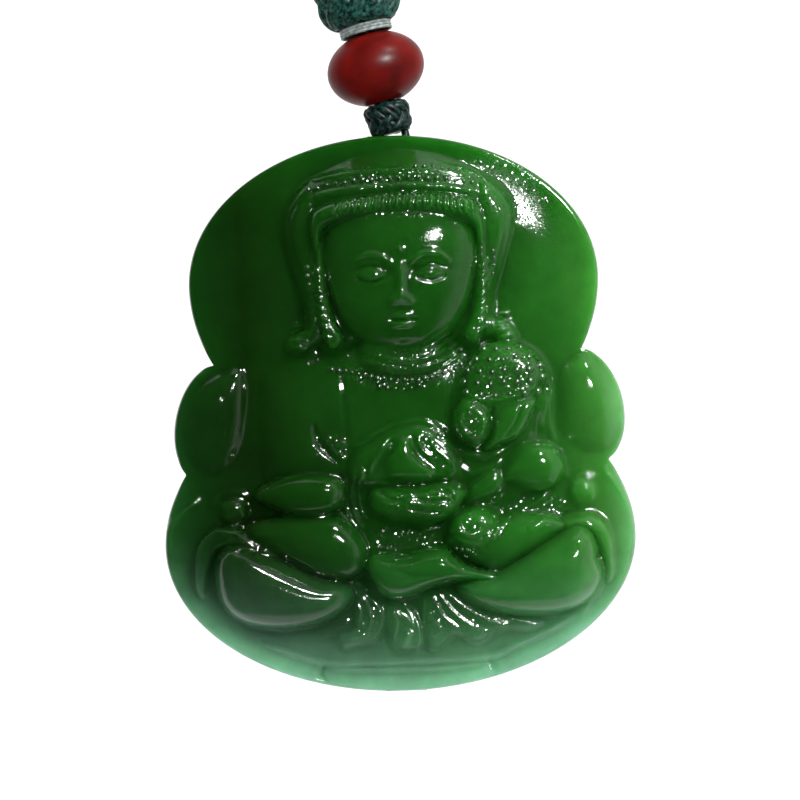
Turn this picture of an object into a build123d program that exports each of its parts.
from build123d import *
import os
from math import cos, radians, sin, tan

import numpy as np

os.makedirs("parts", exist_ok=True)

# Frame: the necklace hangs as worn. The origin is where the cord bears on the nape,
# +X is to the viewer's right, the carved front faces -Y and +Z is up.

# Pendant, in millimetres
pendant_width = 47.3
pendant_height = 55.7
pendant_thickness = 9.6
base_rim = 3.6  # thickness of the bare edge round the base
halo_rim = 2.7  # thickness of the bare edge round the halo
rim_round = 2.3  # how far in from the outline the front edge is rounded
rim_swell = 1.25  # rise of that rounding for each millimetre of its radius
rim_blend = 1.3  # blend between that rounding and the relief
back_chamfer = 0.5
wall_slope = 1.3  # how steeply a carved form drops outside its own outline
crease = 0.45  # blend where two carved forms meet
most_stretch = 1.6  # how far past its end a form's bend and taper are followed
least_width = 0.12  # smallest share of its width that a taper leaves
union_blend = 1.6  # blend where two shapes of the outline meet
softening = 0.32  # polish that takes the corners off the relief

# Sections that the carved front is lofted through
section_step = 0.72
cap_steps = (0.0, 0.12, 0.32, 0.6)
cap_half_width = 2.0
points_across = 80
field_step = 0.3

# Thread that ties the pendant, and its bores
thread_diameter = 0.8
thread_clearance = 0.1
thread_spread = 2.5  # between the two strands where they enter the pendant
thread_depth = 2.0  # how deep the thread's bend lies in the pendant's top edge
thread_inset = 1.35  # from the pendant's flat back to the thread
strand_pitch = 1.1  # between the two strands in the bead

# Knots and bead, stacked on the thread
stack_lean = 12.5  # degrees to the viewer's left
stack_foot = 0.6  # where the stack stands, right of the pendant's centre line
piece_gap = 0.1
foot_gap = 0.3
lower_knot_diameter = 5.0
lower_knot_height = 3.2
bead_diameter = 9.9
bead_height = 7.0
bead_flat = 3.4  # diameter of the flat at each end of the bead
bead_bore = 2.2
collar_diameter = 5.4
collar_height = 0.9
upper_knot_diameter = 9.2
upper_knot_height = 6.2
knot_wraps = 4
wrap_groove = 0.25

# Neck cord
cord_diameter = 2.4
socket_clearance = 0.1

# How the necklace hangs: the loop's half width, and how far the knots hang to the side of,
# before and below the nape
loop_half_width = 61.0
hang_side = -3.2
hang_forward = 138.0
hang_drop = 230.0
nape_stand = 1.2  # from the nape to the cord's centre line
knot_top = Vector(hang_side, -hang_forward, -hang_drop)

# The cord's route, from the knot up the viewer's left, round the nape and down the right:
# percent of the loop's half width, of the way forward and of the drop
CORD_ROUTE = [
    # across, forward, down
    (-8.0, 100.0, 100.7),
    (-23.0, 98.6, 88.3),
    (-47.5, 90.6, 69.6),
    (-73.8, 74.6, 49.6),
    (-93.4, 53.6, 31.7),
    (-100.0, 31.2, 16.5),
    (-90.2, 12.3, 5.7),
    (-59.0, 1.1, 1.1),
    (-19.7, 0.0, 0.0),
    (19.7, 0.0, 0.0),
    (59.0, 1.1, 1.1),
    (90.2, 12.3, 5.7),
    (100.0, 31.2, 16.5),
    (91.8, 53.6, 31.7),
    (70.5, 74.6, 49.6),
    (41.0, 90.6, 69.6),
    (13.1, 98.6, 88.3),
    (-1.6, 100.0, 100.35),
]
FILLET_SHARE = 0.45

# Outline, as ellipses. across, reach: percent of the pendant's width from its centre line;
# up, rise, fall: percent of its height; turn: degrees, with the lobes' reach and rise along
# and across their own axis, both in percent of the width.
OUTLINE = {
    #         across, up, reach, rise, fall
    "halo": (0.2, 73.8, 43.5, 26.2, 31.0),
    "base": (-0.2, 27.0, 49.8, 30.0, 27.0),
}
LOBES = {
    #                across, up, length, width, turn
    "left lobe": (-39.9, 49.3, 12.4, 7.2, 77.4),
    "right lobe": (40.5, 50.3, 12.2, 7.5, 102.6),
}
CORE_REACH = 38.0
CORE_LOW = 30.0
CORE_HIGH = 66.0

# Levels of the plate behind the figure, in percent of the thickness
HALO_LEVEL = 35.0
HALO_CREST = 9.0  # extra height of the ring between the head and the rim
CREST_AT = 0.64  # where that ring lies, as a share of the halo's radius
CREST_WIDTH = 0.19
BASE_LEVEL = 41.0
BASE_SWELL = 6.0
SWELL_UP = 24.0
SWELL_WIDTH = 19.0
LEVELS_MEET = 50.0
LEVELS_BLEND = 12.0

# The carved forms. across, length and width are percent of the pendant's width, up is percent
# of its height, turn is in degrees, bend bows the form's axis and taper widens one end, square
# is the outline's exponent, foot and top are percent of the thickness, and flat is how level
# the crown is.
FORMS = [
    # name, across, up, length, width, turn, bend, taper, square, foot, top, flat
    ("neck", 1.6, 61.0, 10.4, 7.0, 0, 0.2, 0.0, 2.4, 30, 67, 3),
    ("face", 1.9, 75.6, 17.4, 16.2, 90, 0, 0.15, 2.4, 50, 89, 2.2),
    ("left curl", -19.4, 63.4, 4.4, 2.3, 25, 0, 0, 2.2, 42, 56, 2.4),
    ("right curl", 22.4, 64.2, 4.4, 2.3, 145, 0, 0, 2.2, 42, 56, 2.4),
    ("left scroll eye", -35.3, 33.5, 2.9, 2.7, 0, 0, 0, 2.0, 46, 58, 2.4),
    ("right scroll eye", 38.6, 34.8, 2.9, 2.7, 0, 0, 0, 2.0, 46, 58, 2.4),
]

# Patches: closed outlines that the carver would have drawn. foot, top and round as in FORMS;
# edge is 0.5 where the side rises round and up to 1 where it is soft;
# lean is how much the top rises towards +X and towards up, in percent of the thickness per
# percent of the pendant's width; points are (across, up).
PATCHES = [
    # name, foot, top, round, edge, lean, points
    ("torso", 34, 60, 11.0, 1.0, (0, 0), [
        (-29.6, 36), (-29.9, 50), (-29.2, 55), (-26.6, 58.8), (-21, 60.8), (-12, 62.4), (-6, 65),
        (8, 65), (14, 62.4), (22, 60.8), (29, 58), (32.6, 52), (32.8, 42), (24, 31), (0, 32),
        (-22, 31),
    ]),
    ("left arm", 34, 65.5, 12.0, 0.75, (0.10, 0), [
        (-29.6, 38), (-29.9, 51), (-28.6, 57.4), (-23, 60.4), (-15, 61), (-11.6, 58.6), (-10.8, 50),
        (-11.2, 43), (-15, 38), (-23, 37),
    ]),
    ("right arm", 34, 65, 9.0, 1.0, (-0.1, 0), [
        (28.4, 43), (32.6, 43), (32.8, 55), (30.5, 59), (24, 61.5), (16, 62), (13, 58), (20, 50),
    ]),
    ("hood", 30, 53, 5.0, 1.0, (0, 0), [
        (-20.4, 61.5), (-19.6, 66), (-19.9, 70), (-22, 76), (-23.6, 82), (-22.9, 87), (-19.6, 91.4),
        (-14, 94.8), (-7, 96.8), (2, 97.9), (10, 97), (17, 94.4), (22.6, 91), (26.4, 87), (26.6, 83),
        (24.8, 77.6), (21.9, 71), (21.6, 66), (23.6, 62),
    ]),
    ("crown", 44, 70, 7.0, 0.8, (0, 0), [
        (-18.4, 88.6), (-17.6, 91), (-14, 92.8), (-8, 94.6), (1, 95.6), (9, 95.2), (15.6, 93.6),
        (19.8, 91.4), (20.6, 87), (10, 83), (-8, 83), (-18.6, 85.6),
    ]),
    ("left veil", 42, 63, 3.4, 1.0, (0.5, 0), [
        (-22, 78), (-23.2, 82.4), (-22.4, 86.8), (-19.4, 90.8), (-16, 92), (-14, 88), (-14, 75),
        (-14.4, 64), (-17.4, 62.4), (-20, 63.8), (-19.2, 67), (-19.6, 71),
    ]),
    ("right veil", 42, 63, 3.4, 1.0, (-0.5, 0), [
        (24.6, 78), (26.2, 83), (25.6, 87.4), (22, 91), (18.6, 92), (17, 88), (17, 75), (17.2, 64),
        (20, 62.6), (22.6, 64), (21.2, 68), (22, 72),
    ]),
    ("left lock", 50, 67, 1.6, 0.7, (0, 0), [
        (-16.6, 84), (-14.4, 84), (-13.6, 73), (-12.4, 67.5), (-10.4, 63.4), (-13.6, 61.6), (-16, 66),
        (-16.6, 73),
    ]),
    ("right lock", 50, 67, 1.6, 0.7, (0, 0), [
        (20.2, 84), (18, 84), (17.2, 73), (16.2, 67.5), (14.2, 63.6), (17.2, 61.8), (19.6, 66),
        (20.2, 73),
    ]),
    ("brow hair", 60, 83, 2.4, 0.7, (0, 0), [
        (-16.4, 80), (-16.8, 86), (-10, 88.6), (2, 89.4), (13, 88.8), (18.8, 86.6), (19.6, 80),
        (18.4, 80), (16.9, 83.2), (10, 84.5), (2, 84.9), (-6, 84.5), (-13.4, 83.2), (-15, 80),
    ]),
    ("lotus", 46, 80, 4.0, 0.6, (0, 0), [
        (12, 50), (12.8, 54), (15.6, 59.4), (19.6, 62), (25, 62.2), (29.6, 59.8), (31.4, 56), (30, 52),
        (28.2, 47.5), (25.5, 45), (21, 43.4), (18, 43), (14, 44.3), (12.1, 46.4),
    ]),
    ("lotus left petal", 62, 87, 2.0, 0.5, (0, 0), [
        (12.1, 50.5), (11.7, 47.5), (12.4, 45.4), (14.6, 43.9), (17, 43.3), (19.4, 45.8), (19.8, 49),
        (17.6, 51.6), (14.4, 52.4),
    ]),
    ("lotus right petal", 62, 86, 2.4, 0.5, (0, 0), [
        (20.4, 48.4), (18.8, 45), (18.2, 43), (22, 43.7), (25.8, 45.2), (28.2, 48.4), (29.2, 51.6),
        (25.5, 52), (22, 50.6),
    ]),
    ("right forearm", 44, 78, 4.4, 0.5, (0, 0), [
        (21.4, 37.9), (22.6, 40.9), (25.8, 43.8), (29.9, 44.1), (33.3, 42.5), (35, 39.5), (34.1, 37),
        (31.9, 35.5), (27.7, 35.1), (24.3, 36.1),
    ]),
    ("left forearm", 42, 80, 3.8, 0.5, (0, 0), [
        (-30.9, 36), (-28, 38.4), (-22, 40), (-16, 40), (-12, 38.6), (-11, 36.2), (-11.8, 33.4),
        (-15, 32), (-19, 31.5), (-23, 31.9), (-27.4, 33.8),
    ]),
    ("apron", 46, 71, 3.0, 0.8, (0, 0), [
        (-10.8, 42.4), (-9.4, 44), (-5, 46.2), (-1.4, 47.9), (3, 48.9), (7, 48.2), (10.6, 46.2),
        (13, 43.6), (13.8, 40.6), (12, 37), (0, 36), (-8, 36.4), (-11.8, 39.4),
    ]),
    ("vase", 56, 82, 3.2, 0.55, (0, 0), [
        (-3.1, 38.4), (-3.3, 40.9), (-2.2, 42.8), (-1.5, 45.1), (0.6, 46.4), (3.2, 45.7), (4.1, 43.2),
        (6, 41.3), (8.2, 39.7), (6.6, 37.8), (0.8, 37.6),
    ]),
    ("hands", 46, 78, 3.4, 0.6, (0, 0), [
        (-6.9, 34.7), (-6.4, 36.8), (-3.3, 37.3), (2.6, 37.5), (8.5, 37.8), (12.6, 37.3), (14.4, 35.6),
        (13.1, 33.1), (11, 30.8), (6.4, 29.5), (1.7, 30), (-3, 30.9), (-6, 32.5),
    ]),
    ("cuff cloth", 44, 66, 2.6, 0.8, (0, 0), [
        (13.6, 32.9), (13.4, 35.6), (15.2, 38.1), (19.7, 40.2), (22.5, 38.9), (22.8, 36.9),
        (21.9, 34.9), (17.7, 33.5),
    ]),
    ("left thigh", 44, 78, 5.4, 0.5, (0, 0), [
        (-33, 29), (-31.5, 31.6), (-25, 32.6), (-18, 32.6), (-13, 32.2), (-9.6, 30), (-7.2, 26.6),
        (-7.2, 23), (-9.6, 20.9), (-14, 20), (-19, 21.2), (-24, 23.8), (-30, 26.6),
    ]),
    ("right thigh", 44, 75, 4.4, 0.5, (0, 0), [
        (9, 27), (12, 24.2), (16, 22.2), (20, 21), (25, 23.2), (31, 26), (35, 28.6), (33, 30.8),
        (29, 31.6), (24, 31.4), (19, 30.4), (13, 30.2),
    ]),
    ("swirl", 52, 78, 2.4, 0.8, (0, 0), [
        (9.6, 28.4), (11, 31.2), (14, 32.6), (18, 32.4), (20.6, 30.4), (19.4, 27.4), (16, 25.6),
        (12, 25.6),
    ]),
    ("left ribbon", 40, 66, 2.2, 0.8, (0, 0), [
        (-43.7, 19), (-44, 24.6), (-43, 28), (-40.6, 30.2), (-37.8, 31.2), (-34, 30.8), (-30, 29.2),
        (-26, 26), (-24, 23.4), (-28, 22.6), (-34, 26), (-38.6, 26), (-40.8, 22), (-41.8, 18),
    ]),
    ("right ribbon", 40, 64, 2.2, 0.8, (0, 0), [
        (45, 20), (45, 25), (43.6, 28.8), (40.6, 31), (36.6, 31.2), (33, 30), (33.6, 27), (37, 28),
        (40.4, 26.6), (42.4, 22), (43, 18),
    ]),
    ("left knee", 44, 94, 6.4, 0.5, (0, 0), [
        (-39.7, 23.4), (-39.5, 19.8), (-38.4, 16.8), (-36, 14.3), (-32, 12.6), (-26, 11.8),
        (-19, 12.3), (-14, 13.8), (-11, 16), (-10.2, 18.4), (-12, 20.1), (-18, 21.4), (-24, 24),
        (-29, 26.2), (-33, 27.7), (-36.4, 27.7), (-38.8, 26),
    ]),
    ("right knee", 44, 94, 6.4, 0.5, (0, 0), [
        (11, 18.7), (13.4, 16.2), (17, 14.5), (22, 13.3), (28, 12.9), (33, 13.3), (37.4, 14.4),
        (40.8, 16.8), (42.2, 20), (41.4, 23), (41, 26), (39.2, 28.4), (36, 28.9), (31, 26.6),
        (25, 23.4), (20, 21.2), (14, 20.2),
    ]),
    ("foot", 50, 90, 3.4, 0.6, (0, 0), [
        (-7.8, 22), (-7.4, 24.4), (-5, 25.4), (0, 24.8), (6, 25.9), (9.6, 25.8), (12, 23.8),
        (15, 22.2), (18, 21.4), (21, 20.6), (19.6, 19.3), (14, 19.5), (10, 19.2), (6, 18.4), (2, 17.1),
        (-1.6, 16.7), (-4.8, 17.8), (-6.8, 20),
    ]),
    ("left drape", 46, 53, 2.0, 0.9, (0, 0), [
        (-10.7, 19), (-7, 18.6), (-3.6, 16.2), (-3.6, 12.6), (-5.4, 10.2), (-8.6, 8.6), (-12.9, 8.2),
        (-14, 10), (-11, 12.4), (-10.8, 15),
    ]),
    ("centre drape", 46, 54, 2.0, 0.9, (0, 0), [
        (-4.2, 16.6), (0, 15.6), (2.4, 13.8), (4, 11.4), (3.8, 8.4), (1, 7.2), (-2.2, 7.8),
        (-3.8, 10.8), (-5, 13.6),
    ]),
    ("right drape", 46, 53, 2.0, 0.9, (0, 0), [
        (3.6, 17.2), (8, 18.8), (13, 17.6), (18, 14.6), (24, 12.8), (29, 11.6), (27, 10.2),
        (22.6, 10.6), (18.6, 9.6), (15, 8.6), (12, 9.8), (9.4, 9.2), (6.6, 7.8), (4.4, 8.8), (3.8, 12),
    ]),
    ("left lobe", 20, 58, 8.0, 0.5, (0, 0), [
        (-32.6, 59.8), (-38, 58.8), (-43, 56), (-46.6, 51), (-47.2, 46), (-45, 41.4), (-40, 38.8),
        (-36, 39.6), (-32.6, 43), (-30.9, 48), (-30.5, 54), (-31, 58),
    ]),
    ("right lobe", 20, 58, 8.0, 0.5, (0, 0), [
        (39.6, 60.2), (43.4, 58.2), (46.6, 54), (48.2, 49), (47.6, 44.6), (44.8, 41.2), (40.6, 40.6),
        (36.4, 42.2), (33.6, 45.4), (32.9, 52), (34.6, 57.6),
    ]),
]

# Lines: raised folds and cut grooves along a smooth curve. width is percent of the pendant's
# width, rise percent of its thickness (negative is cut in), ends the share it fades over.
LINES = [
    # name, width, rise, ends, points
    ("band upper", 0.6, 3, 0.15, [
        (-17.8, 92), (-14, 92.6), (-8, 93.1), (1, 93.5), (10, 93.1), (19.4, 91.8),
    ]),
    ("band lower", 0.6, 3, 0.15, [(-18, 88.8), (-10, 89.9), (1, 90.4), (10, 90.1), (19.4, 88.8)]),
    ("veil fold left 1", 0.5, -2, 0.25, [
        (-17.4, 90), (-20.8, 86), (-20.9, 81), (-19.4, 75), (-17.8, 69),
    ]),
    ("veil fold right 1", 0.5, -2, 0.25, [
        (19.8, 90), (24, 86), (24.2, 81.6), (22.2, 75.4), (20.2, 69),
    ]),
    ("neck crease 1", 0.5, 2.9, 0.25, [(-5.6, 60.6), (0, 59.4), (4, 59.2), (8, 60), (11, 61.6)]),
    ("neck crease 2", 0.5, 2.9, 0.25, [(-8, 59.6), (0, 57.9), (5, 57.8), (9.6, 58.8), (13, 60.4)]),
    ("chest edge left", 0.7, -1.8, 0.15, [(-11.4, 58), (-10.8, 54), (-10.8, 49), (-10.8, 44.6)]),
    ("chest edge right", 0.9, -2.2, 0.25, [(12.8, 58), (11.8, 54), (11.2, 50), (11.4, 46.6)]),
    ("sleeve groove", 0.7, -4.5, 0.25, [(-17.6, 48.8), (-17, 46.2), (-15.4, 43.8), (-12, 41.8)]),
    ("sleeve pleat", 0.45, 2.9, 0.3, [(-14.6, 44), (-12.8, 42.6), (-11, 42)]),
    ("robe ridge", 0.6, 4.3, 0.12, [
        (-9.8, 43.8), (-7, 45), (-3.4, 46.8), (0, 48), (4, 48.6), (7.4, 47.6), (11, 45.4),
    ]),
    ("robe inner edge", 0.5, 3.6, 0.2, [(-2.2, 45.4), (-4, 43), (-5.6, 41), (-6.4, 39.4)]),
    ("robe pleat 1", 0.35, 2.6, 0.25, [(4.7, 46.1), (4.4, 44.6), (5.4, 42.9), (7.2, 41.8)]),
    ("robe pleat 2", 0.35, 2.6, 0.25, [(6.7, 45.6), (7.6, 43.6), (9.8, 41.8), (12.1, 40)]),
    ("wrist fold 1", 0.55, 3.6, 0.15, [(-7.4, 40.4), (-8.6, 37), (-8.4, 33.6), (-7.2, 31)]),
    ("wrist fold 2", 0.55, 3.6, 0.15, [(-9.2, 40.2), (-10.2, 36.4), (-9.8, 32.6), (-8.2, 29.2)]),
    ("wrist fold 3", 0.5, 3.6, 0.15, [(-11, 39.6), (-11.8, 36), (-11.2, 32), (-9.6, 28.6)]),
    ("vase base line", 0.5, -4, 0.15, [(-4.6, 38.2), (0, 37.5), (4, 37.1), (8.8, 38)]),
    ("vase hollow", 0.8, -3.5, 0.3, [(-1.8, 45.4), (-0.6, 44), (-0.8, 42)]),
    ("finger 1", 0.34, -3.2, 0.2, [(2, 36.8), (5, 36.2), (8, 36.4), (11, 35.4)]),
    ("finger 2", 0.34, -3.2, 0.2, [(2.6, 35), (5.6, 34.2), (9, 34.2), (11.6, 33.4)]),
    ("finger 3", 0.34, -3.2, 0.2, [(1.6, 33), (5, 32.4), (8.4, 32.2), (10.4, 31.6)]),
    ("thumb", 0.5, -2.9, 0.2, [(-4.6, 36.4), (-2, 34.8), (1, 34.2)]),
    ("hand knuckle", 0.4, -2.2, 0.3, [(8.4, 36.6), (10.4, 35.4), (11.6, 33.6)]),
    ("lotus split", 0.5, -5.8, 0.15, [(18, 43.2), (19.6, 46), (19.9, 50.4)]),
    ("lotus left rim", 0.5, 2.2, 0.2, [
        (13, 50.6), (13.4, 46.8), (15.4, 45.4), (17.6, 46.6), (18.4, 50),
    ]),
    ("lotus right vein", 0.5, -2.9, 0.2, [(22, 45), (24.6, 47.4), (26.4, 51)]),
    ("seed cup", 0.6, 2.9, 0.2, [(13, 53.2), (16.6, 52), (21, 51.8), (26, 52.6), (30, 54.4)]),
    ("stem edge", 0.7, 3.6, 0.2, [(32, 57.6), (32.5, 52), (32.2, 46.6), (33.4, 43)]),
    ("stem groove", 0.8, -2.9, 0.25, [(29.6, 50), (29.2, 47.4), (30, 44.6)]),
    ("under lotus 1", 0.45, 3.2, 0.2, [(8.8, 46), (11.1, 44.2), (15.1, 42.2), (21, 42.4), (24.6, 44)]),
    ("under lotus 2", 0.45, 3.6, 0.2, [(14.4, 42.6), (18, 41.6), (22, 42.4)]),
    ("under lotus 3", 0.45, 2.9, 0.2, [(12.6, 40.4), (15, 39), (19, 39.8), (22, 40.8)]),
    ("forearm edge", 0.6, 3.6, 0.2, [(30.8, 44), (33.2, 41.8), (34.7, 39.4), (35.2, 37)]),
    ("forearm lip", 0.5, 2.9, 0.2, [
        (21.6, 38.4), (23.6, 36.4), (27.4, 35.4), (31.4, 36), (33.8, 38.2),
    ]),
    ("hip line", 0.6, 4.3, 0.2, [(22, 31.4), (25, 31.8), (28.4, 33), (31.6, 35)]),
    ("hand hem", 0.45, 3.2, 0.15, [
        (-6.4, 32.5), (-3.3, 30.9), (2.3, 29.9), (6.4, 29.2), (11.1, 30.5), (15.9, 32.5), (21.9, 34.7),
    ]),
    ("swirl ridge 1", 0.5, 3.6, 0.2, [(11, 27.6), (13.6, 26.6), (17, 26.8), (19.2, 28.4)]),
    ("swirl ridge 2", 0.5, 3.6, 0.2, [(12, 30.6), (12.4, 28.6), (15, 28), (17, 28.8)]),
    ("swirl ridge 3", 0.5, 3.6, 0.2, [(18.8, 26.6), (20.2, 28.8), (22.6, 30.4)]),
    ("thigh pleat right", 0.5, 3.6, 0.2, [(26.6, 28.6), (28.4, 29.2), (30.6, 30.6)]),
    ("left thigh fold", 0.5, 2.2, 0.25, [(-27, 27.6), (-22, 25), (-17, 22.6), (-12.6, 20.9)]),
    ("left knee hem", 0.6, 4, 0.12, [
        (-30, 26.8), (-27.6, 25.7), (-24, 23.6), (-20.4, 21.8), (-17, 21),
    ]),
    ("left ribbon lip", 0.7, 3.6, 0.12, [
        (-40.3, 24), (-38.8, 26.8), (-36, 28.1), (-33, 27.8), (-30, 26.6),
    ]),
    ("left ribbon outer", 0.6, 3.6, 0.15, [
        (-37.6, 31), (-40.6, 29.8), (-42.8, 27.4), (-43.7, 23.6), (-43.2, 18.8),
    ]),
    ("left ribbon groove", 0.8, -3.6, 0.2, [(-36.6, 29.4), (-39.6, 28.2), (-41.6, 25.4), (-41.9, 21)]),
    ("left scroll lip", 0.6, 3.6, 0.2, [(-37.6, 32.6), (-36, 31.2), (-33.8, 31.6), (-31.8, 33.4)]),
    ("left scroll arc", 0.6, 2.9, 0.2, [(-39.4, 34), (-37.8, 36.4), (-34.4, 36.9), (-32, 35.4)]),
    ("right scroll lip", 0.6, 3.6, 0.2, [(36.8, 33.4), (38, 32.4), (40, 32.7), (41.3, 34.6)]),
    ("right scroll arc", 0.6, 2.9, 0.2, [(36, 36), (38.4, 37.8), (41.4, 37)]),
    ("right ribbon lip", 0.7, 3.6, 0.12, [
        (34.6, 28.4), (37.4, 29.2), (40, 28.2), (41.4, 25.6), (41.2, 23.4),
    ]),
    ("right ribbon outer", 0.6, 2.9, 0.2, [(37, 31.4), (41, 30.6), (43.6, 28), (44.6, 23.6)]),
    ("right knee edge", 0.6, 4.3, 0.12, [(41.1, 23.4), (42.3, 20), (41.4, 17), (39.2, 15), (37.6, 12)]),
    ("left base line", 0.6, 4.3, 0.15, [(-49.2, 30.6), (-46.4, 33.2), (-42.4, 35.8)]),
    ("right base line", 0.6, 3.6, 0.15, [(48.4, 31.4), (46.4, 35), (43, 39)]),
    ("left hem fold 1", 0.34, 2.1, 0.2, [
        (-10.7, 18.7), (-8, 16.2), (-7, 13), (-8.6, 10.5), (-12.9, 9),
    ]),
    ("left hem fold 2", 0.34, 2.1, 0.2, [
        (-9.3, 18.6), (-5.4, 15.5), (-4.7, 12.5), (-6.5, 9.8), (-10.2, 8.4),
    ]),
    ("left hem fold 3", 0.34, 2.1, 0.25, [(-10.4, 17), (-9.2, 14.4), (-10.1, 12)]),
    ("left hem fold 4", 0.4, 2.9, 0.15, [
        (-11.6, 19.9), (-6, 18.4), (-0.5, 16.2), (2.5, 13.2), (3.2, 9.5), (2.4, 6.6),
    ]),
    ("left hem fold 5", 0.34, 2.1, 0.2, [(-12.2, 10.6), (-15, 10.6), (-18, 9.8)]),
    ("centre hem strip", 0.8, 3.6, 0.2, [(1.1, 11.2), (0.3, 9.2), (-0.7, 7.6)]),
    ("centre hem fold", 0.34, 2.4, 0.2, [(-2.4, 15.4), (-1.6, 12.4), (-2.6, 9)]),
    ("right hem fold 1", 0.34, 2.2, 0.2, [(4.4, 17.1), (3.9, 12.9), (4.4, 8.8)]),
    ("right hem fold 2", 0.34, 2.2, 0.2, [(5.6, 17.6), (8.2, 13.4), (12.1, 10.4)]),
    ("right hem fold 3", 0.34, 2.2, 0.2, [(6.9, 18), (10.8, 13.6), (15.4, 10.8), (18.5, 10.6)]),
    ("right hem fold 4", 0.34, 2.2, 0.2, [(8.4, 18.3), (13.1, 14.6), (18.9, 11.9), (22.3, 11.4)]),
    ("right hem fold 5", 0.34, 2.2, 0.2, [(10.5, 18), (16.1, 15), (22.8, 12.7), (29.7, 11.9)]),
    ("right hem fold 6", 0.34, 2.2, 0.25, [(13.4, 17), (19.9, 14.4), (26.6, 12.9), (35, 12.4)]),
    ("right scallop 1", 0.4, 3.2, 0.2, [(3.6, 8.4), (6.1, 7.4), (8.2, 7.9), (10.2, 10)]),
    ("right scallop 2", 0.4, 3.2, 0.2, [(10.8, 10.2), (14.1, 8.4), (16.9, 8.5), (18.5, 10.4)]),
    ("foot line", 0.5, -1.8, 0.2, [(-3, 22.9), (-0.6, 22), (2, 21.2), (6, 21.1), (11.6, 22.2)]),
    ("seat rim", 0.6, 3.6, 0.12, [
        (-31, 9.6), (-24, 7.3), (-16, 5.4), (-8, 5.2), (8, 5.3), (18, 5.7), (24, 7.7), (32, 10.6),
        (36.6, 12.8),
    ]),
    ("seat lower rim", 0.5, 2.9, 0.15, [(-16.6, 4.3), (-6, 3.9), (6, 3.8), (17, 4.4)]),
    ("seat side left", 0.6, 0.7, 0.15, [
        (-39.4, 14.8), (-37, 11), (-33.4, 8.4), (-30, 5.7), (-26, 3.4),
    ]),
    ("petal left", 0.5, -3.6, 0.2, [(-16.8, 5.2), (-17.8, 3.6), (-17, 1.6)]),
    ("petal right", 0.5, -3.6, 0.2, [(17.6, 5.6), (18.6, 3.8), (19.4, 2.2)]),
]


def wide(percent):
    return percent / 100 * pendant_width


def high(percent):
    return percent / 100 * pendant_height


def thick(percent):
    return percent / 100 * pendant_thickness


def smooth_max(a, b, blend):
    return np.maximum(a, b) + np.maximum(blend - np.abs(a - b), 0) ** 2 / (4 * blend)


def smooth_min(a, b, blend):
    return -smooth_max(-a, -b, blend)


def turned(x, z, across, up, turn):
    """A point's place along and across an axis turned about a centre."""
    dx = x - wide(across)
    dz = z - high(up)
    c = cos(radians(turn))
    s = sin(radians(turn))
    return dx * c + dz * s, dz * c - dx * s


def ellipse_depth(a, b, half_a, half_b):
    """Roughly how far inside an ellipse a point lies."""
    inside = 1 - (a / half_a) ** 2 - (b / half_b) ** 2
    slope = 4 * (a / half_a**2) ** 2 + 4 * (b / half_b**2) ** 2
    return inside / np.sqrt(slope + (inside / np.minimum(half_a, half_b)) ** 2)


def outline_depth(x, z):
    """How far inside the pendant's outline a point lies."""
    depths = []
    for across, up, reach, rise, fall in OUTLINE.values():
        dz = z - high(up)
        half = np.where(dz > 0, high(rise), high(fall))
        depths.append(ellipse_depth(x - wide(across), dz, wide(reach), half))
    for across, up, length, width, turn in LOBES.values():
        a, b = turned(x, z, across, up, turn)
        depths.append(ellipse_depth(a, b, wide(length), wide(width)))
    side = wide(CORE_REACH) - np.abs(x)
    ends = np.minimum(high(CORE_HIGH) - z, z - high(CORE_LOW))
    depths.append(np.minimum(side, ends))
    union = depths[0]
    for depth in depths[1:]:
        union = smooth_max(union, depth, union_blend)
    return union


def outline_span(z):
    """The outline's left and right x at a height."""
    low, high_x = [-cap_half_width], [cap_half_width]
    for across, up, reach, rise, fall in OUTLINE.values():
        dz = z - high(up)
        share = abs(dz) / high(rise if dz > 0 else fall)
        if share < 1:
            half = wide(reach) * (1 - share * share) ** 0.5
            low.append(wide(across) - half)
            high_x.append(wide(across) + half)
    for across, up, length, width, turn in LOBES.values():
        c = cos(radians(turn))
        s = sin(radians(turn))
        a2 = wide(length) ** 2
        b2 = wide(width) ** 2
        dz = z - high(up)
        square = c * c / a2 + s * s / b2
        linear = 2 * dz * c * s * (1 / a2 - 1 / b2)
        rest = dz * dz * (s * s / a2 + c * c / b2) - 1
        root = linear * linear - 4 * square * rest
        if root > 0:
            low.append(wide(across) + (-linear - root**0.5) / (2 * square))
            high_x.append(wide(across) + (-linear + root**0.5) / (2 * square))
    return min(low), max(high_x)


def plate_height(x, z):
    """The plain plate behind the figure: a dished halo above a swelling base."""
    across, up, reach, rise, fall = OUTLINE["halo"]
    dz = z - high(up)
    half = np.where(dz > 0, high(rise), high(fall))
    radius = np.sqrt(((x - wide(across)) / wide(reach)) ** 2 + (dz / half) ** 2)
    ring = np.exp(-(((radius - CREST_AT) / CREST_WIDTH) ** 2))
    halo = thick(HALO_LEVEL) + thick(HALO_CREST) * ring
    swell = np.exp(-(((z - high(SWELL_UP)) / wide(SWELL_WIDTH)) ** 2))
    base = thick(BASE_LEVEL) + thick(BASE_SWELL) * swell
    share = np.clip((z - high(LEVELS_MEET)) / high(LEVELS_BLEND), 0, 1)
    return halo * share + base * (1 - share)


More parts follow.
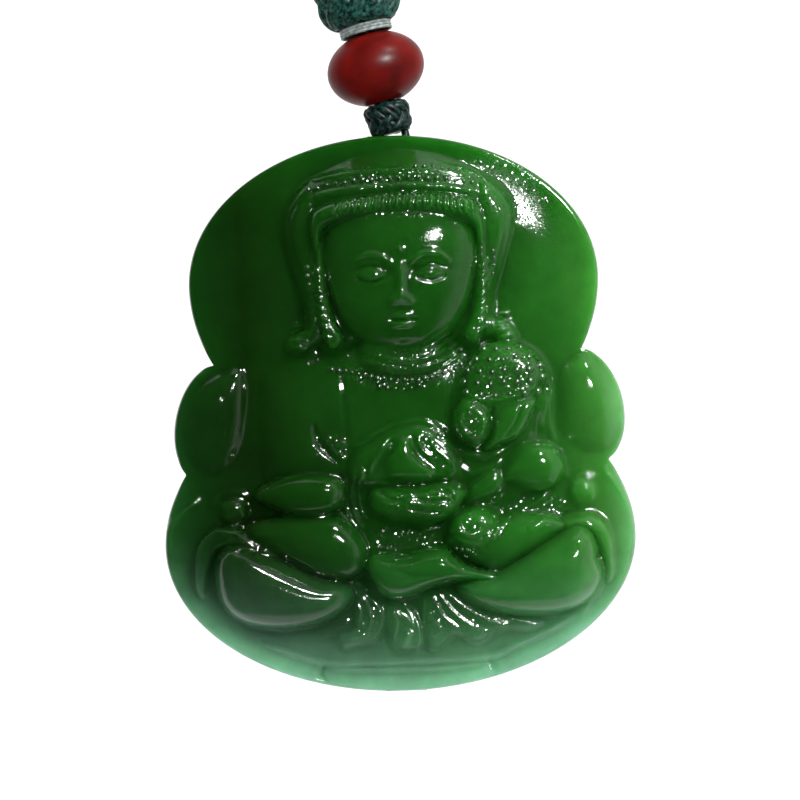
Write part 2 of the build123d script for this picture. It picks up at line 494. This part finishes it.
def form_height(x, z, row):
    """A rounded form: a bent, tapered superellipse with a domed top and steep sides."""
    name, across, up, length, width, turn, bend, taper, square, foot, top, flat = row
    along, side = turned(x, z, across, up, turn)
    s = np.clip(along / wide(length), -most_stretch, most_stretch)
    side = side + bend * wide(width) * s * s
    half = wide(width) * np.maximum(1 + taper * s, least_width)
    r = (np.abs(along / wide(length)) ** square + np.abs(side / half) ** square) ** (1 / square)
    dome = np.sqrt(np.clip(1 - np.minimum(r, 1) ** flat, 0, 1))
    outside = np.hypot(along, side) * (1 - 1 / np.maximum(r, 1))
    return thick(foot) + (thick(top) - thick(foot)) * dome - wall_slope * outside


curve_steps = 6


def smooth_curve(points, closed):
    """A smooth curve through a few (across, up) points, in millimetres."""
    given = np.array([(wide(a), high(u)) for a, u in points])
    count = len(given)
    if closed:
        padded = np.vstack([given[-1:], given, given[:2]])
        spans = count
    else:
        first = 2 * given[0] - given[1]
        last = 2 * given[-1] - given[-2]
        padded = np.vstack([first, given, last])
        spans = count - 1
    t = np.linspace(0, 1, curve_steps, endpoint=False)[:, None]
    parts = []
    for i in range(spans):
        p0, p1, p2, p3 = padded[i : i + 4]
        bend = 2 * p0 - 5 * p1 + 4 * p2 - p3
        parts.append(0.5 * (2 * p1 + (p2 - p0) * t + bend * t**2 + (3 * p1 - p0 - 3 * p2 + p3) * t**3))
    parts.append(padded[spans : spans + 1] if closed is None else padded[spans + 1 : spans + 2])
    return np.vstack(parts)


def near(x, z, curve, margin):
    low = curve.min(axis=0) - margin
    top = curve.max(axis=0) + margin
    return (x > low[0]) & (x < top[0]) & (z > low[1]) & (z < top[1])


def patch_height(x, z, row):
    """A form inside a closed curve: its sides rise steeply and round over to a level top."""
    name, foot, top, rounding, edge, lean, points = row
    curve = smooth_curve(points, True)
    height = np.full(x.shape, -20.0)
    part = near(x, z, curve, 2.5)
    px = x[part]
    pz = z[part]
    pull = np.zeros(px.shape)
    nearest = np.full(px.shape, 1e9)
    crossings = np.zeros(px.shape, dtype=int)
    for (ax, az), (bx, bz) in zip(curve[:-1], curve[1:]):
        ux = bx - ax
        uz = bz - az
        length = np.hypot(ux, uz)
        if length < 1e-9:
            continue
        ux = ux / length
        uz = uz / length
        s1 = (px - ax) * ux + (pz - az) * uz
        off = ((px - ax) * uz - (pz - az) * ux) ** 2 + 1e-6
        s2 = s1 - length
        pull += (s1 / np.sqrt(off + s1**2) - s2 / np.sqrt(off + s2**2)) / off
        past = np.maximum(np.maximum(-s1, s2), 0)
        nearest = np.minimum(nearest, off + past**2)
        if az != bz:
            crosses = (az > pz) != (bz > pz)
            crossings += crosses & (px < ax + (pz - az) * (bx - ax) / (bz - az))
    depth = np.sqrt(2 / pull)
    share = np.clip(depth / wide(rounding), 0, 1)
    dome = (1 - (1 - share) ** 2) ** edge
    cx, cz = curve.mean(axis=0)
    tilt = (lean[0] * (px - cx) + lean[1] * (pz - cz)) / pendant_width * pendant_thickness
    inside = thick(foot) + (thick(top) - thick(foot) + tilt) * dome
    outside = thick(foot) - wall_slope * np.sqrt(nearest)
    height[part] = np.where(crossings % 2 == 1, inside, outside)
    return height


def line_height(x, z, row):
    """What a raised fold or a cut groove adds near its curve."""
    name, width, rise, ends, points = row
    curve = smooth_curve(points, False)
    added = np.zeros(x.shape)
    part = near(x, z, curve, 3 * wide(width))
    px = x[part]
    pz = z[part]
    nearest = np.full(px.shape, 1e9)
    share = np.zeros(px.shape)
    count = len(curve) - 1
    for i in range(count):
        ux, uz = curve[i + 1] - curve[i]
        dx = px - curve[i][0]
        dz = pz - curve[i][1]
        q = np.clip((dx * ux + dz * uz) / (ux * ux + uz * uz + 1e-12), 0, 1)
        distance = np.hypot(dx - q * ux, dz - q * uz)
        closer = distance < nearest
        nearest = np.where(closer, distance, nearest)
        share = np.where(closer, (i + q) / count, share)
    fade = np.clip(np.minimum(share, 1 - share) / ends, 0, 1)
    added[part] = thick(rise) * np.exp(-((nearest / wide(width)) ** 2)) * fade * (2 - fade)
    return added


def front_height(x, z):
    """How far the carved front stands before the flat back."""
    height = plate_height(x, z)
    for row in PATCHES:
        height = smooth_max(height, patch_height(x, z, row), crease)
    for row in FORMS:
        height = smooth_max(height, form_height(x, z, row), crease)
    for row in LINES:
        height = height + line_height(x, z, row)
    share = np.clip((z / pendant_height * 100 - CORE_LOW) / CORE_LOW, 0, 1)
    edge = base_rim + (halo_rim - base_rim) * share
    depth = outline_depth(x, z)
    inner = np.clip(depth, 0, rim_round)
    arc = np.sqrt(rim_round**2 - (rim_round - inner) ** 2)
    rim = edge + rim_swell * arc + 2 * np.maximum(depth - rim_round, 0)
    return smooth_min(height, rim, rim_blend)


def softened_field():
    """The relief on an even grid, smoothed, with the grid's two axes."""
    margin = 2.0
    xs = np.arange(-pendant_width / 2 - margin, pendant_width / 2 + margin, field_step)
    zs = np.arange(-margin, pendant_height + margin, field_step)
    grid_x, grid_z = np.meshgrid(xs, zs)
    field = front_height(grid_x, grid_z)
    reach = int(3 * softening / field_step) + 1
    weights = np.exp(-0.5 * (np.arange(-reach, reach + 1) * field_step / softening) ** 2)
    weights = weights / weights.sum()
    for axis in (0, 1):
        field = np.apply_along_axis(np.convolve, axis, field, weights, "same")
    return xs, zs, field


def field_row(xs, zs, field, across, z):
    """The relief along one section, read between the grid's points."""
    row = (z - zs[0]) / field_step
    low = int(row)
    mix = field[low] * (low + 1 - row) + field[low + 1] * (row - low)
    return np.interp(across, xs, mix)


def section_heights():
    count = round((pendant_height - 2 * cap_steps[-1]) / section_step)
    inner = np.linspace(cap_steps[-1], pendant_height - cap_steps[-1], count + 1)
    top = [pendant_height - step for step in reversed(cap_steps[:-1])]
    return list(cap_steps[:-1]) + [float(z) for z in inner] + top


def pendant_section(z, grid):
    """One level slice: the carved front as a curve, closed by the flat back."""
    left, right = outline_span(z)
    across = np.linspace(left, right, points_across)
    depth = field_row(*grid, across, z)
    front = Spline(*[(float(x), -float(d), z) for x, d in zip(across, depth)])
    right_wall = Line(front @ 1, (right, -back_chamfer, z))
    right_edge = Line(right_wall @ 1, (right - back_chamfer, 0, z))
    back = Line(right_edge @ 1, (left + back_chamfer, 0, z))
    left_edge = Line(back @ 1, (left, -back_chamfer, z))
    left_wall = Line(left_edge @ 1, front @ 0)
    return Wire([front, right_wall, right_edge, back, left_edge, left_wall])


def carved_pendant():
    grid = softened_field()
    return Solid.make_loft([pendant_section(z, grid) for z in section_heights()], ruled=True)


# The stack's levels, measured up its leaning axis from the pendant's top edge
lower_knot_foot = foot_gap
bead_foot = lower_knot_foot + lower_knot_height + piece_gap
collar_foot = bead_foot + bead_height + piece_gap
upper_knot_foot = collar_foot + collar_height
stack_height = upper_knot_foot + upper_knot_height

lean = radians(stack_lean)
stack_up = Vector(-sin(lean), 0, cos(lean))
stack_base = knot_top - stack_up * stack_height
stack_plane = Plane(origin=stack_base, x_dir=(cos(lean), 0, sin(lean)), z_dir=stack_up)
pendant_place = Pos(
    stack_base.X - stack_foot, stack_base.Y + thread_inset, stack_base.Z - pendant_height
)


def tube(path, diameter):
    return sweep(Plane(origin=path @ 0, z_dir=path % 0) * Circle(diameter / 2), path)


def thread_path(extra=0.0):
    """Down through the bead and knot, round a bend in the pendant, and back up."""
    half = thread_spread / 2
    narrow = strand_pitch / 2
    top = upper_knot_foot + upper_knot_height / 2 + extra
    bend = half * 0.96
    side = [
        (narrow, top),
        (narrow, bead_foot),
        (half, lower_knot_foot + lower_knot_height / 4),
        (half, -thread_depth),
    ]
    points = [(-x, 0, z) for x, z in side] + [(x, 0, z) for x, z in reversed(side)]
    ease = 2 * half
    return stack_plane * FilletPolyline(*points, radius=[ease, ease, bend, bend, ease, ease])


def wound_profile(radius, foot, height, wraps):
    """Half of a wound barrel: rounded turns whose crests follow a bulging side."""
    half = height / 2
    points = []
    steps = wraps * 6
    for i in range(steps + 1):
        angle = -90 + 180 * i / steps
        level = foot + half + half * sin(radians(angle))
        bulge = radius * max(cos(radians(angle)), 0) ** 0.45
        groove = wrap_groove * (0.5 + 0.5 * cos(radians(360 * wraps * i / steps)))
        points.append((max(bulge - groove, 0), level))
    points[0] = (0, foot)
    points[-1] = (0, foot + height)
    line = Polyline(*[(x, 0, z) for x, z in points])
    return make_face([line, Line(line @ 1, line @ 0)])


def thread_passage():
    return tube(thread_path(thread_clearance), thread_diameter + 2 * thread_clearance)


def lower_knot():
    profile = wound_profile(lower_knot_diameter / 2, lower_knot_foot, lower_knot_height, knot_wraps)
    return stack_plane * revolve(profile) - thread_passage()


def red_bead():
    """An oblate drilled bead with a small flat round each end of its bore."""
    half = bead_height / 2
    middle = bead_foot + half
    rise = half / (1 - (bead_flat / bead_diameter) ** 2) ** 0.5
    ball = Ellipse(bead_diameter / 2, rise)
    keep = Pos(bead_diameter / 4, 0) * Rectangle(bead_diameter / 2, bead_height)
    profile = Plane.XZ * Pos(0, middle) * (ball & keep)
    bore = Pos(0, 0, middle) * Cylinder(bead_bore / 2, 2 * bead_height)
    return stack_plane * (revolve(profile, Axis.Z) - bore)


def upper_knot():
    standing = (Align.CENTER, Align.CENTER, Align.MIN)
    collar = Pos(0, 0, collar_foot) * Cylinder(collar_diameter / 2, 2 * collar_height, align=standing)
    profile = wound_profile(upper_knot_diameter / 2, upper_knot_foot, upper_knot_height, knot_wraps)
    knot = stack_plane * (revolve(profile) + collar)
    knot = knot - thread_passage()
    for end, inner in ((0, 1), (-1, -2)):
        first = cord_points()[end]
        out = (cord_points()[inner] - first).normalized()
        foot = first - out * socket_clearance
        bore = cord_diameter / 2 + socket_clearance
        standing = (Align.CENTER, Align.CENTER, Align.MIN)
        socket = Cylinder(bore, upper_knot_height, align=standing)
        knot = knot - Plane(origin=foot, z_dir=out) * socket
    return knot


def cord_points():
    points = []
    for across, forward, down in CORD_ROUTE:
        x = across / 100 * loop_half_width
        y = nape_stand - forward / 100 * (hang_forward + nape_stand)
        points.append(Vector(x, y, -down / 100 * hang_drop))
    return points


def cord_radii(points):
    """The largest arc that each corner's two runs allow."""
    radii = []
    for before, corner, after in zip(points, points[1:], points[2:]):
        run_in = corner - before
        run_out = after - corner
        half_turn = radians(run_in.get_angle(run_out)) / 2
        radii.append(FILLET_SHARE * min(run_in.length, run_out.length) / tan(half_turn))
    return radii


def neck_cord():
    points = cord_points()
    radii = cord_radii(points)
    path = FilletPolyline(*points, radius=radii)
    cord = tube(path, cord_diameter)
    section = 3.14159265 * cord_diameter**2 / 4
    share = cord.volume / (section * path.length)
    print("cord length %.1f mm, volume / (section x length) %.4f" % (path.length, share))
    print("cord radii in diameters:", [round(r / cord_diameter, 1) for r in radii])
    return cord


def jade_pendant():
    return pendant_place * carved_pendant() - thread_passage()


NODES = {
    "jade_pendant": jade_pendant,
    "hanger_thread": lambda: tube(thread_path(), thread_diameter),
    "lower_knot": lower_knot,
    "red_bead": red_bead,
    "upper_knot": upper_knot,
    "neck_cord": neck_cord,
}

for name, make in NODES.items():
    export_step(make(), f"parts/{name}.step")
